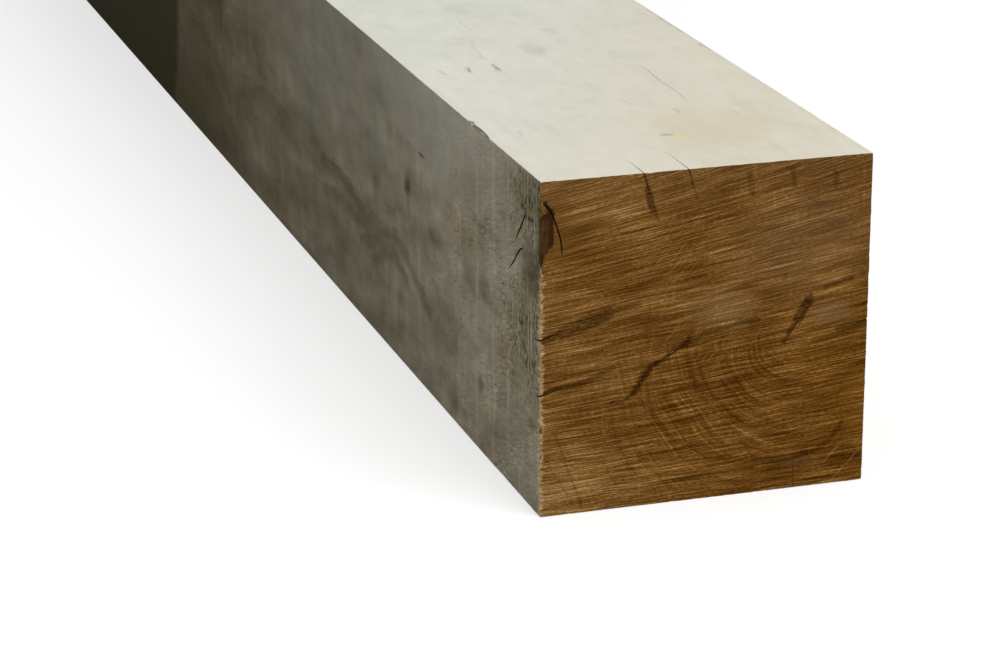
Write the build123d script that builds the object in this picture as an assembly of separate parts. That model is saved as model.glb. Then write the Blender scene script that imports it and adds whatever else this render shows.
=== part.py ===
"""Sawn oak beam: one square baulk of timber with the seasoning checks of its cut end.

The beam lies along Y, and the end that shows its checks and its knot faces -Y. The origin is at the
middle of the underside. Millimetres, +Z up.
"""

import os

from build123d import *

# The baulk as it comes off the saw
section_width = 200.0
section_height = 200.0
beam_length = 2400.0
arris_break = 0.6

# Stretch behind the cut end in which the checks, the knot and the chips lie
marked_zone = 300.0

# Checks that open on an arris of the cut end: widest mouth, and longest run along the side or the top
arris_check_opening = 1.2
arris_check_run = 43.0

# Checks inside one face: widest mouth and deepest reach
end_check_opening = 0.6
end_check_depth = 26.0
side_check_opening = 2.0
side_check_depth = 12.0
top_check_opening = 2.6
top_check_depth = 7.0

# Bark pocket that wraps the knot on the left arris of the cut end
pocket_opening = 0.9
pocket_depth = 18.0

# Splinters torn out of an arris: longest and deepest
chip_length = 42.0
chip_depth = 2.0

# How far each cutter stands out of the wood, as a share of its own depth
overrun_share = 0.2

# Places are shares: across from the left side, up from the underside, and along the marked zone
# from the cut end. Openings, runs, depths and lengths are shares of the largest of their kind.

# Mouth across the top, tip across and up the end, run along the top, opening
top_arris_check_shares = [
    (0.303, 0.335, 0.895, 0.77, 0.50),
    (0.437, 0.459, 0.934, 1.00, 0.50),
]

# Mouth up the left side, tip across and up the end, run along the side, tip up the side, opening
left_arris_check_shares = [
    (0.535, 0.075, 0.559, 0.28, 0.522, 1.00),
    (0.369, 0.090, 0.393, 0.19, 0.358, 0.85),
]

# Mouth up the right side, tip across and up the end, run along the side, tip up the side, opening
right_arris_check_shares = [
    (0.500, 0.950, 0.483, 0.30, 0.500, 0.75),
]

# Path across and up the end, with its opening and its depth
end_check_shares = [
    (
        [
            (0.245, 0.320), (0.285, 0.357), (0.310, 0.395), (0.331, 0.423),
            (0.362, 0.438), (0.405, 0.462), (0.450, 0.493),
        ],
        0.90, 1.00,
    ),
    ([(0.743, 0.453), (0.775, 0.508), (0.820, 0.571)], 1.00, 0.85),
]

# Path of the bark pocket round the knot, across and up the end
pocket_path_shares = [
    (0.008, 0.940), (0.020, 0.924), (0.032, 0.907), (0.046, 0.872), (0.058, 0.832), (0.063, 0.800),
    (0.064, 0.770),
]

# Path along and up the left side, with its opening and its depth
left_side_check_shares = [
    ([(0.085, 0.895), (0.095, 0.865), (0.113, 0.830), (0.133, 0.798), (0.160, 0.757)], 0.80, 1.00),
    ([(0.102, 0.765), (0.123, 0.750), (0.145, 0.724), (0.162, 0.698), (0.202, 0.652)], 0.75, 1.00),
    ([(0.757, 0.757), (0.790, 0.759), (0.821, 0.760)], 0.80, 0.50),
]

# Path across and along the top, with its opening and its depth
top_check_shares = [
    ([(0.694, 0.443), (0.704, 0.530), (0.702, 0.623), (0.709, 0.720), (0.712, 0.827)], 0.15, 1.00),
    ([(0.272, 0.808), (0.271, 0.832), (0.266, 0.878)], 1.00, 0.40),
    ([(0.174, 0.820), (0.180, 0.838), (0.186, 0.862)], 0.45, 0.25),
]

# Centre along the top left arris, length and depth of each splinter
top_left_chip_shares = [
    (0.380, 1.00, 0.65),
    (0.440, 0.26, 0.85),
]

# Centre up the left arris of the cut end, length and depth of each splinter
end_left_chip_shares = [
    (0.735, 0.18, 0.80),
    (0.265, 0.14, 0.55),
    (0.195, 0.18, 0.60),
]

left_x = -section_width / 2
right_x = section_width / 2
cut_end_y = -beam_length / 2

leftwards = Vector(-1, 0, 0)
rightwards = Vector(1, 0, 0)
endwards = Vector(0, -1, 0)
upwards = Vector(0, 0, 1)


def on_end(across_share, up_share):
    """A point of the cut end."""
    return Vector(left_x + section_width * across_share, cut_end_y, section_height * up_share)


def on_left_side(along_share, up_share):
    """A point of the left side, in the marked zone."""
    return Vector(left_x, cut_end_y + marked_zone * along_share, section_height * up_share)


def on_top(across_share, along_share):
    """A point of the top, in the marked zone."""
    return Vector(
        left_x + section_width * across_share,
        cut_end_y + marked_zone * along_share,
        section_height,
    )


def tapered_cutter(outline, apex):
    """A closed solid over a flat outline, drawn in to a single point."""
    flanks = [Face(Wire.make_polygon([a, b, apex])) for a, b in zip(outline, outline[1:] + outline[:1])]
    return Solid(Shell([Face(Wire.make_polygon(outline)), *flanks]))


def face_check(path, outward, opening, depth):
    """A check inside one face: a crooked lens at the surface that closes towards one point below it."""
    middle = path[len(path) // 2]
    apex = middle - outward * depth
    one_lip = []
    other_lip = []
    for before, point, after in zip(path, path[1:], path[2:]):
        half_gap = outward.cross(after - before).normalized() * (opening / 2)
        one_lip.append(point + half_gap)
        other_lip.append(point - half_gap)
    mouth = [path[0], *one_lip, path[-1], *reversed(other_lip)]
    proud_mouth = [apex + (point - apex) * (1 + overrun_share) for point in mouth]
    return tapered_cutter(proud_mouth, apex)


def arris_check(mouth, along_arris, end_tip, face_tip, opening):
    """A check that opens on an arris and closes towards a tip on each of the two faces that meet there."""
    root = (end_tip + face_tip) / 2
    half_gap = along_arris * (opening / 2)
    lips = [root + (mouth + side - root) * (1 + overrun_share) for side in (half_gap, -half_gap)]
    past_tip = (end_tip - face_tip) * overrun_share
    return tapered_cutter([*lips, end_tip + past_tip], face_tip - past_tip)


def arris_chip(centre, along_arris, outward, length, depth):
    """A splinter torn out of an arris: a round scoop across the corner, deepest at its centre."""
    radius = length**2 / (8 * depth) + depth / 2
    scoop_plane = Plane(
        origin=centre + outward * (radius - depth),
        x_dir=along_arris,
        z_dir=along_arris.cross(outward),
    )
    return scoop_plane * Cylinder(radius, 4 * depth)


def end_checks():
    """Every check that shows on the cut end, and the bark pocket round the knot."""
    cuts = []
    for mouth_across, tip_across, tip_up, run, opening in top_arris_check_shares:
        mouth = on_end(mouth_across, 1)
        face_tip = mouth - endwards * (arris_check_run * run)
        end_tip = on_end(tip_across, tip_up)
        cuts.append(arris_check(mouth, rightwards, end_tip, face_tip, arris_check_opening * opening))
    for across, rows in ((0, left_arris_check_shares), (1, right_arris_check_shares)):
        for mouth_up, tip_across, tip_up, run, side_tip_up, opening in rows:
            mouth = on_end(across, mouth_up)
            face_tip = on_end(across, side_tip_up) - endwards * (arris_check_run * run)
            end_tip = on_end(tip_across, tip_up)
            cuts.append(arris_check(mouth, upwards, end_tip, face_tip, arris_check_opening * opening))
    for path_shares, opening, depth in end_check_shares:
        path = [on_end(*shares) for shares in path_shares]
        cuts.append(face_check(path, endwards, end_check_opening * opening, end_check_depth * depth))
    pocket_path = [on_end(*shares) for shares in pocket_path_shares]
    cuts.append(face_check(pocket_path, endwards, pocket_opening, pocket_depth))
    return cuts


def long_face_checks():
    """The checks of the left side and of the top."""
    cuts = []
    for path_shares, opening, depth in left_side_check_shares:
        path = [on_left_side(*shares) for shares in path_shares]
        cuts.append(face_check(path, leftwards, side_check_opening * opening, side_check_depth * depth))
    for path_shares, opening, depth in top_check_shares:
        path = [on_top(*shares) for shares in path_shares]
        cuts.append(face_check(path, upwards, top_check_opening * opening, top_check_depth * depth))
    return cuts


def chips():
    """The splinters torn out of the top left arris and of the left arris of the cut end."""
    cuts = []
    for along, length, depth in top_left_chip_shares:
        centre = on_top(0, along)
        corner = (leftwards + upwards).normalized()
        cuts.append(arris_chip(centre, -endwards, corner, chip_length * length, chip_depth * depth))
    for up, length, depth in end_left_chip_shares:
        centre = on_end(0, up)
        corner = (leftwards + endwards).normalized()
        cuts.append(arris_chip(centre, upwards, corner, chip_length * length, chip_depth * depth))
    return cuts


def oak_beam():
    """The baulk with its long arrises broken, then its checks and chips taken out one by one."""
    baulk = Pos(0, 0, section_height / 2) * Box(section_width, beam_length, section_height)
    beam = chamfer(baulk.edges().filter_by(Axis.Y), arris_break)
    for cut in [*end_checks(), *long_face_checks(), *chips()]:
        beam -= cut
    return beam


os.makedirs("parts", exist_ok=True)
beam = oak_beam()
export_step(beam, "parts/oak_beam.step")
print("oak_beam", len(beam.solids()), "solid,", round(beam.volume / 1e9, 5), "cubic metres")
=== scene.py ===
# %% [markdown]
# # A sawn oak beam
# The object is one square baulk of oak, sawn from the log, left outdoors until its sides went grey,
# and then cross cut, so that one end shows fresh brown end grain. A beam like this could be a plain
# box with a picture on it. Here it starts from the exact solid instead, so that the drying checks,
# the bark pocket and the chipped arris are real cuts, and each face then gets the relief and the
# finish that its own saw and its own weather left on it.

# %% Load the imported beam
import math

import bmesh
import bpy
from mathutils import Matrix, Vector, noise


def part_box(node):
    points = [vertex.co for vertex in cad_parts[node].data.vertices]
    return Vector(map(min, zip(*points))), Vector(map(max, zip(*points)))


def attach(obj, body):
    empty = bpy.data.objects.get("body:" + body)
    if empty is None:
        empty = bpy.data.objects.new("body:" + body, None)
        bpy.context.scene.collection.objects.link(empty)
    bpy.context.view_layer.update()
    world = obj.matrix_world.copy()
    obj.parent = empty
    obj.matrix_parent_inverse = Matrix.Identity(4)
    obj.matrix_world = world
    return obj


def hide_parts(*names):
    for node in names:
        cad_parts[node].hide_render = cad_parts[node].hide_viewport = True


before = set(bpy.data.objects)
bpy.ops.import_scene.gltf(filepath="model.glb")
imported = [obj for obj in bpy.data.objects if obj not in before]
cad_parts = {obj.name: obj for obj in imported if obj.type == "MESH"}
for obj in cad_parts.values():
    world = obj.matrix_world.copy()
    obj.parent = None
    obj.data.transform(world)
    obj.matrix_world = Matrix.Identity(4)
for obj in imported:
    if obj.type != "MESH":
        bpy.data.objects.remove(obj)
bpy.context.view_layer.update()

MM = 0.001
beam_low, beam_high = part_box("oak_beam")
beam_width, beam_length, beam_height = (beam_high - beam_low) / MM
print(f"beam {beam_width:.0f} wide, {beam_length:.0f} long, {beam_height:.0f} high, in mm")

# %% [markdown]
# ## The six flats
# A sawn beam has six flats: two cross-cut ends, and four long faces from the mill. Each was made by
# another tool and weathered in another way, so every face of the mesh is given the number of its flat
# before anything else is done. A face is on a flat when all its corners lie in that plane. The walls
# of the checks, the chips and the narrow broken arrises lie in none of them and get number 0. Cutting
# a face later copies its number to both halves.

# %% Number the flats
ACROSS, ALONG, UP = 0, 1, 2
FLAT_PLANES = {
    "cut_end": (ALONG, beam_low.y),
    "far_end": (ALONG, beam_high.y),
    "left": (ACROSS, beam_low.x),
    "right": (ACROSS, beam_high.x),
    "top": (UP, beam_high.z),
    "underside": (UP, beam_low.z),
}
NUMBERS = {name: number for number, name in enumerate(FLAT_PLANES, start=1)}
PLANE_TOLERANCE = 0.02 * MM
WELD_REACH = 0.005 * MM


def on_plane(point, name):
    axis, place = FLAT_PLANES[name]
    return abs(point[axis] - place) < PLANE_TOLERANCE


beam = bmesh.new()
beam.from_mesh(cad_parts["oak_beam"].data)
bmesh.ops.remove_doubles(beam, verts=beam.verts, dist=WELD_REACH)
flat = beam.faces.layers.int.new("flat")
for face in beam.faces:
    for name, number in NUMBERS.items():
        if all(on_plane(vert.co, name) for vert in face.verts):
            face[flat] = number
print(f"solid: {len(beam.faces)} faces, {sum(f[flat] == 0 for f in beam.faces)} in checks and chips")

# %% [markdown]
# ## Points for the relief
# Saw marks can only stand in the surface where the mesh has points to move. The solid has a few
# hundred long triangles, so its flats are scored along parallel lines with bisect_plane, which cuts
# faces without changing their shape and keeps the mouths of the checks as they are. Each call halves
# the list of lines, so a face is only ever tried against the lines that can reach it. The rows are
# close together near the cut end, where the eye goes, and wider apart towards the far end. A voxel
# remesh would be shorter, but it would round the arrises and close the checks.

# %% A way to score faces
def score(faces, axis, places):
    """Cuts faces along lines at right angles to one axis, at sorted places in mm from the low corner."""
    if not places or not faces:
        return
    middle = len(places) // 2
    level = beam_low[axis] + places[middle] * MM
    direction = Vector([number == axis for number in range(3)])
    verts = {vert for face in faces for vert in face.verts}
    edges = {edge for face in faces for edge in face.edges}
    cut = bmesh.ops.bisect_plane(
        beam, geom=[*verts, *edges, *faces], dist=PLANE_TOLERANCE / 4,
        plane_co=direction * level, plane_no=direction,
    )
    pieces = [piece for piece in cut["geom"] if isinstance(piece, bmesh.types.BMFace)]
    before = [face for face in pieces if face.calc_center_median()[axis] < level]
    after = [face for face in pieces if face.calc_center_median()[axis] > level]
    score(before, axis, places[:middle])
    score(after, axis, places[middle + 1:])


def faces_on(*names):
    numbers = [NUMBERS.get(name, 0) for name in names]
    return [face for face in beam.faces if face[flat] in numbers]


def evenly(span, step):
    """Places at even steps inside a span."""
    count = round(span / step)
    return [span * number / count for number in range(1, count)]


# %% Score the flats
FINE_ZONE = 300.0
FINE_ROW = 2.5
ROW_GROWTH = 1.03
WIDEST_ROW = 14.0
NEAR_PART = 600.0
CUT_END_STEPS = {UP: 0.8, ACROSS: 2.0}
FAR_END_STEPS = {UP: 2.5, ACROSS: 5.0}
SEEN_STEP = 4.0
UNSEEN_STEP = 8.0

rows = [FINE_ROW]
gap = FINE_ROW
while rows[-1] + gap < beam_length - FINE_ROW:
    rows.append(rows[-1] + gap)
    if rows[-1] > FINE_ZONE:
        gap = min(gap * ROW_GROWTH, WIDEST_ROW)
rows[min(range(len(rows)), key=lambda number: abs(rows[number] - NEAR_PART))] = NEAR_PART

score(faces_on("cut_end"), UP, evenly(beam_height, CUT_END_STEPS[UP]))
score(faces_on("far_end"), UP, evenly(beam_height, FAR_END_STEPS[UP]))
score(faces_on("left", "right", "top", "underside", "arrises and checks"), ALONG, rows)
score(faces_on("cut_end"), ACROSS, evenly(beam_width, CUT_END_STEPS[ACROSS]))
score(faces_on("far_end"), ACROSS, evenly(beam_width, FAR_END_STEPS[ACROSS]))
score(faces_on("underside"), ACROSS, evenly(beam_width, UNSEEN_STEP))
score(faces_on("right"), UP, evenly(beam_height, UNSEEN_STEP))
score(faces_on("top"), ACROSS, evenly(beam_width, SEEN_STEP))
score(faces_on("left"), UP, evenly(beam_height, SEEN_STEP))
print(f"scored with {len(rows)} rows: {len(beam.faces)} faces")

# %% Join the slivers that the old triangles left in each cell
SQUARE_TO_AXIS = 1e-6


def is_leftover(edge):
    """True for an edge inside one flat that runs slantwise, as no scored line does."""
    if len(edge.link_faces) != 2:
        return False
    one, other = (face[flat] for face in edge.link_faces)
    run = edge.verts[1].co - edge.verts[0].co
    return 0 != one == other and sum(abs(step) > SQUARE_TO_AXIS for step in run) > 1


bmesh.ops.dissolve_edges(beam, edges=[e for e in beam.edges if is_leftover(e)], use_verts=True)
print(f"after joining: {len(beam.faces)} faces")

# %% [markdown]
# ## A map for the bake
# The beam gets one square map, named OFBake. An automatic unwrap would give all faces the same share
# of it, although the cut end holds far more detail than the underside. So each flat is laid onto its
# own rectangle, at a scale that suits it: the cut end largest, then the near part of the left side and
# of the top, then the rest. The broken arrises lie beside the top and the underside, and the walls of
# the checks share one spare corner.

# %% Lay the flats onto the map
MAP = 1024.0
SPARE = (600.0, 880.0, 420.0, 140.0)
# What runs right and up, the rectangle in pixels as left, low, wide and high, and the flat's start in mm
LAYOUT = {
    ("cut_end", True): (ACROSS, UP, (448.0, 380.0, 494.0, 494.0), (0.0, 0.0)),
    ("far_end", False): (ACROSS, UP, (448.0, 880.0, 140.0, 140.0), (0.0, 0.0)),
    ("left", True): (UP, ALONG, (2.0, 380.0, 218.0, 642.0), (0.0, 0.0)),
    ("top", True): (ACROSS, ALONG, (224.0, 380.0, 218.0, 642.0), (0.0, 0.0)),
    ("left", False): (ALONG, UP, (2.0, 276.0, 1000.0, 98.0), (NEAR_PART, 0.0)),
    ("top", False): (ALONG, ACROSS, (2.0, 172.0, 1000.0, 98.0), (NEAR_PART, 0.0)),
    ("right", None): (ALONG, UP, (2.0, 88.0, 1000.0, 78.0), (0.0, 0.0)),
    ("underside", None): (ALONG, ACROSS, (2.0, 4.0, 1000.0, 78.0), (0.0, 0.0)),
}
spans = (beam_width, beam_length, beam_height)
ARRIS_REACH = 4.5 * MM
BREAK_REACH = 0.65 * MM
GOUGE_DEPTH = 8.0 * MM
GOUGE_START = 100.0 * MM


def farthest(face, *names):
    """How far from one flat, or from two together, the farthest corner of a face lies."""
    planes = [FLAT_PLANES[name] for name in names]
    return max(sum(abs(vert.co[axis] - place) for axis, place in planes) for vert in face.verts)


def kind_of(face):
    """The flat whose finish and map a face takes, or what it is in a check or a chip."""
    if face[flat]:
        return list(FLAT_PLANES)[face[flat] - 1]
    for level in ("top", "underside"):
        for side in ("left", "right"):
            if farthest(face, level, side) < BREAK_REACH:
                return level
            if farthest(face, level) < ARRIS_REACH and farthest(face, side) < ARRIS_REACH:
                return "torn"
    if farthest(face, "left") < ARRIS_REACH and farthest(face, "cut_end") < ARRIS_REACH:
        return "frayed"
    behind = face.calc_center_median().y - beam_low.y
    for name, kind in (("top", "pale_wall"), ("left", "grey_wall")):
        if farthest(face, name) < GOUGE_DEPTH and behind > GOUGE_START:
            return kind
    return "wall"


kinds = {face: kind_of(face) for face in beam.faces}
bake_map = beam.loops.layers.uv.new("OFBake")


def map_point(point, kind, near):
    """Where a point of a flat lies on the map, as shares of it."""
    key = next(key for key in LAYOUT if key[0] == kind and key[1] in (near, None))
    right, upward, (left_edge, low_edge, wide, high), starts = LAYOUT[key]
    shares = []
    for axis, start in ((right, starts[0]), (upward, starts[1])):
        span = NEAR_PART if key[1] and axis == ALONG else spans[axis] - start
        shares.append(((point[axis] - beam_low[axis]) / MM - start) / span)
    return ((left_edge + wide * shares[0]) / MAP, (low_edge + high * shares[1]) / MAP)


def spare_point(point, face):
    """Where a point of a check wall or a chip lies in the map's spare corner."""
    steepest = max(range(3), key=lambda axis: abs(face.normal[axis]))
    right, upward = [axis for axis in range(3) if axis != steepest]
    shares = [
        min((point[axis] - beam_low[axis]) / MM / min(spans[axis], FINE_ZONE), 1.0)
        for axis in (right, upward)
    ]
    return ((SPARE[0] + SPARE[2] * shares[0]) / MAP, (SPARE[1] + SPARE[3] * shares[1]) / MAP)


beam.normal_update()
for face in beam.faces:
    kind = kinds[face]
    near = face.calc_center_median().y < beam_low.y + NEAR_PART * MM
    for loop in face.loops:
        if kind in FLAT_PLANES:
            loop[bake_map].uv = map_point(loop.vert.co, kind, near)
        else:
            loop[bake_map].uv = spare_point(loop.vert.co, face)
print(f"mapped; {sum(kind not in FLAT_PLANES for kind in kinds.values())} faces in checks and chips")

# %% [markdown]
# ## What the saws left
# A chainsaw took the end off: its marks cross the face in long shallow arcs that climb to the right,
# steeply near the top and hardly at all near the bottom. A bandsaw cut the long faces: its marks run
# square to the length, a ridge for every small jerk of the feed. The marks are real relief here, a
# few tenths of a millimetre deep, made with layered noise that is stretched along the cut. Points only
# ever move into the wood, so the beam never grows past its own size.

# %% Depth of the saw marks
CUT_CLIMB_LOW = 0.03
CUT_CLIMB_HIGH = 0.21
CROSSCUT_DEPTH = 0.5
BANDSAW_DEPTH = 0.25
ARRIS_WEAR = 0.77
WEAR_REACH = 4.0
BROAD_MARK = (130.0, 9.0)
NARROW_MARK = (45.0, 2.8)
FEED_JERK = (170.0, 11.0)
LONG_HOLLOW = (160.0, 22.0)
WEAR_LENGTHS = (8.0, 2.6)
SEED_STEP = 20.0


def streaks(along, across, longest, widest, seed):
    """Noise from 0 to 1 in streaks that are as long and as wide as given."""
    return 0.5 + 0.5 * noise.noise(Vector((along / longest, across / widest, seed)))


def crosscut_depth(across, up, seed):
    """Depth of the chainsaw's marks on an end, where they fan out towards the top."""
    climb = CUT_CLIMB_LOW + (CUT_CLIMB_HIGH - CUT_CLIMB_LOW) * up / beam_height
    line = up - climb * across
    broad = streaks(across, line, *BROAD_MARK, seed)
    narrow = streaks(across, line, *NARROW_MARK, seed + 7)
    return CROSSCUT_DEPTH * (0.4 * broad + 0.6 * narrow)


def bandsaw_depth(along, across, seed):
    """Depth of the bandsaw's marks on a long face."""
    jerk = streaks(across, along, *FEED_JERK, seed)
    hollow = streaks(along, across, *LONG_HOLLOW, seed + 11)
    return BANDSAW_DEPTH * (0.6 * jerk + 0.4 * hollow)


def arris_wear(along, distance, seed):
    """How much an arris is worn back, dying away from the edge."""
    if distance > WEAR_REACH:
        return 0.0
    nearness = (1 - distance / WEAR_REACH) ** 2
    slow, quick = (streaks(along, 0.0, length, 1.0, seed + 3 * number)
                   for number, length in enumerate(WEAR_LENGTHS))
    return ARRIS_WEAR * nearness * slow * quick


print(f"end marks up to {CROSSCUT_DEPTH} mm deep, those of the long faces up to {BANDSAW_DEPTH} mm")

# %% Press the marks into the mesh
def relief_at(point, name):
    """Depth of the relief at a point of one flat, in mm."""
    seed = SEED_STEP * NUMBERS[name]
    across = point.x / MM
    along = (point.y - beam_low.y) / MM
    up = point.z / MM
    from_side = beam_width / 2 - abs(across)
    from_level = min(up, beam_height - up)
    from_end = min(along, beam_length - along)
    if name in ("cut_end", "far_end"):
        worn = arris_wear(up, from_side, seed) + arris_wear(across, from_level, seed + 1)
        return crosscut_depth(across, up, seed) + worn
    over, from_arris = (up, from_level) if name in ("left", "right") else (across, from_side)
    worn = arris_wear(along, from_arris, seed) + arris_wear(over, from_end, seed + 1)
    return bandsaw_depth(along, over, seed) + worn


beam_middle = (beam_low + beam_high) / 2
deepest = 0.0
for vert in beam.verts:
    point = vert.co.copy()
    for name, (axis, place) in FLAT_PLANES.items():
        if on_plane(point, name):
            depth = relief_at(point, name)
            vert.co[axis] += math.copysign(depth * MM, beam_middle[axis] - place)
            deepest = max(deepest, depth)
print(f"deepest relief {deepest:.2f} mm")

# %% [markdown]
# ## How the finishes are mixed
# Every finish is a tree of nodes over the beam's own coordinates, so one block of wood runs through all
# its faces and nothing slides when the camera moves. Trees could be wired by hand in the node editor.
# Here they are written down, because one finish holds hundreds of nodes that repeat a few steps. The
# cells below give each step one short call, from a single node up to a finished material. All lengths
# in these calls are in millimetres.

# %% A colour as it looks on screen
def paint(red, green, blue):
    """A colour given as it looks on screen, as the linear colour that the nodes work in."""
    def linear(value):
        share = value / 255
        return share / 12.92 if share <= 0.04045 else ((share + 0.055) / 1.055) ** 2.4

    return (linear(red), linear(green), linear(blue), 1.0)


print("oak brown in linear colour:", *[round(part, 3) for part in paint(112, 75, 30)[:3]])

# %% Calls that add one node
class NodeTree:
    """A node tree, and short calls that add a node to it."""

    def __init__(self, tree):
        self.tree = tree

    def feed(self, socket, value):
        """Links a node's output to a socket, or sets a plain value on it."""
        if isinstance(value, bpy.types.NodeSocket):
            self.tree.links.new(value, socket)
        else:
            socket.default_value = value

    def add(self, kind, *values, **settings):
        """Adds a node, with its settings and the values of its first sockets."""
        node = self.tree.nodes.new(kind)
        for name, value in settings.items():
            setattr(node, name, value)
        for socket, value in zip(node.inputs, values):
            self.feed(socket, value)
        return node

    def math(self, operation, *values):
        return self.add("ShaderNodeMath", *values, operation=operation).outputs[0]

    def times(self, product, *values):
        """The product of some values."""
        for value in values:
            product = self.math("MULTIPLY", product, value)
        return product

    def vmath(self, operation, *values):
        return self.add("ShaderNodeVectorMath", *values, operation=operation).outputs[0]

    def measure(self, operation, *values):
        return self.add("ShaderNodeVectorMath", *values, operation=operation).outputs["Value"]

    def flat(self, right, upward):
        """A place on a face: its coordinates to the right and upwards."""
        return self.add("ShaderNodeCombineXYZ", right, upward, 0.0).outputs[0]


# %% [markdown]
# ## Noise as grain
# Wood is streaks inside streaks. One noise, stretched to different lengths along and across the grain,
# gives all of them, and a second noise that moves the place about keeps the lines from being straight.
# A tone is a sum of such noises, each with a weight.

# %% Noise, and tones made of it
class GrainTree(NodeTree):
    """Adds noise stretched into streaks, soft steps, and tones weighed from several noises."""

    def noise(self, place, lengths, detail=1.0, rough=0.5):
        """A noise node about 0.5, stretched to the given lengths along the axes of a place."""
        shares = tuple(1 / length for length in lengths) + (1.0,) * (3 - len(lengths))
        node = self.add("ShaderNodeTexNoise", self.vmath("MULTIPLY", place, shares))
        node.inputs["Scale"].default_value = 1.0
        node.inputs["Detail"].default_value = detail
        node.inputs["Roughness"].default_value = rough
        return node

    def grain(self, place, lengths, detail=1.0, rough=0.5):
        return self.noise(place, lengths, detail, rough).outputs["Fac"]

    def sway(self, place, lengths, reach):
        """The place moved about by noise, so that lines on it wander."""
        wander = self.vmath("SUBTRACT", self.noise(place, lengths).outputs["Color"], (0.5, 0.5, 0.5))
        return self.vmath("MULTIPLY_ADD", wander, (2 * reach, 2 * reach, 0.0), place)

    def fade(self, value, start, end, low=0.0, high=1.0):
        """A soft step of a value, from low at start to high at end."""
        node = self.add("ShaderNodeMapRange", value, start, end, low, high)
        node.interpolation_type = "SMOOTHSTEP"
        return node.outputs[0]

    def weigh(self, start, *pairs):
        """A tone: a starting value plus each noise, measured from its middle, times its weight."""
        tone = start
        for value, weight in pairs:
            tone = self.math("MULTIPLY_ADD", self.math("SUBTRACT", value, 0.5), weight, tone)
        return tone

    def lift(self, tone, *pairs):
        """A tone plus each mask times its weight."""
        for value, weight in pairs:
            tone = self.math("MULTIPLY_ADD", value, weight, tone)
        return tone


# %% [markdown]
# ## Marks in given places
# Stains, veins and knots lie in known places, so they can't be left to noise. Each is a mask from 0 to
# 1 about a line through a few points, or inside an oval. Masks are joined by taking the strongest, and
# noise frays their edges, because a clean stroke would look drawn.

# %% Strokes and spots
class MarkedTree(GrainTree):
    """Adds masks for marks that lie in known places."""

    def gap_to(self, place, points):
        """How far a place lies from a line through points."""
        nearest = None
        for start, end in zip(points, points[1:]):
            run = Vector((*end, 0)) - Vector((*start, 0))
            offset = self.vmath("SUBTRACT", place, (*start, 0))
            share = self.measure("DOT_PRODUCT", offset, tuple(run / run.length_squared))
            held = self.add("ShaderNodeClamp", share).outputs[0]
            foot = self.add("ShaderNodeVectorMath", tuple(run), operation="SCALE")
            self.feed(foot.inputs["Scale"], held)
            gap = self.measure("DISTANCE", offset, foot.outputs[0])
            nearest = gap if nearest is None else self.math("MINIMUM", nearest, gap)
        return nearest

    def stroke(self, place, points, half_width, softness, strength=1.0):
        """A soft mask along a line through points: full on the line, 0 past its width and softness."""
        return self.fade(self.gap_to(place, points), half_width, half_width + softness, strength, 0.0)

    def spot(self, place, centre, radii, strength=1.0):
        """A soft oval mask: full about the centre, 0 at the radii."""
        offset = self.vmath("SUBTRACT", place, (*centre, 0))
        squeezed = self.vmath("MULTIPLY", offset, (1 / radii[0], 1 / radii[1], 0))
        return self.fade(self.measure("LENGTH", squeezed), 0.25, 1.0, strength, 0.0)

    def most(self, *masks):
        """The strongest of some masks."""
        strongest = masks[0]
        for mask in masks[1:]:
            strongest = self.math("MAXIMUM", strongest, mask)
        return strongest

    def ragged(self, mask, rough):
        """A mask whose edge a noise has frayed, and whose weak parts it has broken up."""
        frayed = self.weigh(mask, (rough, 0.7))
        return self.times(self.fade(frayed, 0.1, 0.95), self.fade(mask, 0.0, 0.2))


# %% [markdown]
# ## From tone to wood
# A ramp turns a tone into wood colours, and marks are tinted over them. The last call feeds the shader
# its colour and roughness, and adds a bump for the relief that is too fine for the mesh.

# %% Colours, and the finished material
class Finish(MarkedTree):
    """One finish: a material over the beam's own coordinates, in mm from the foot of the cut end."""

    def __init__(self, name, shine):
        self.material = bpy.data.materials.new(name)
        self.material.use_nodes = True
        super().__init__(self.material.node_tree)
        self.shader = self.tree.nodes["Principled BSDF"]
        self.shader.inputs["Specular IOR Level"].default_value = shine
        metres = self.add("ShaderNodeTexCoord").outputs["Object"]
        from_cut_end = self.vmath("ADD", metres, (0, -beam_low.y, 0))
        self.place = self.vmath("MULTIPLY", from_cut_end, (1 / MM, 1 / MM, 1 / MM))
        self.across, self.along, self.up = self.add("ShaderNodeSeparateXYZ", self.place).outputs

    def ramp(self, tone, stops):
        """Turns a tone into colours, between stops of place and screen colour."""
        node = self.add("ShaderNodeValToRGB", tone)
        elements = node.color_ramp.elements
        while len(elements) < len(stops):
            elements.new(0.5)
        for element, (place, colour) in zip(elements, stops):
            element.position = place
            element.color = paint(*colour)
        return node.outputs["Color"]

    def tint(self, factor, below, above, blend="MIX"):
        """Mixes one colour over another."""
        node = self.add("ShaderNodeMix", data_type="RGBA", blend_type=blend)
        self.feed(node.inputs["Factor"], factor)
        under, over = [socket for socket in node.inputs if socket.type == "RGBA"]
        self.feed(under, below)
        self.feed(over, above)
        return next(socket for socket in node.outputs if socket.type == "RGBA")

    def close(self, colour, roughness, height, depth):
        """Feeds the shader its colour, its roughness and a bump that is as deep as given."""
        self.feed(self.shader.inputs["Base Color"], colour)
        self.feed(self.shader.inputs["Roughness"], roughness)
        bump = self.add("ShaderNodeBump")
        bump.inputs["Strength"].default_value = 1.0
        bump.inputs["Distance"].default_value = depth * MM
        self.feed(bump.inputs["Height"], height)
        self.feed(self.shader.inputs["Normal"], bump.outputs["Normal"])
        print(f"{self.material.name}: {len(self.tree.nodes)} nodes")
        return self.material


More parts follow.
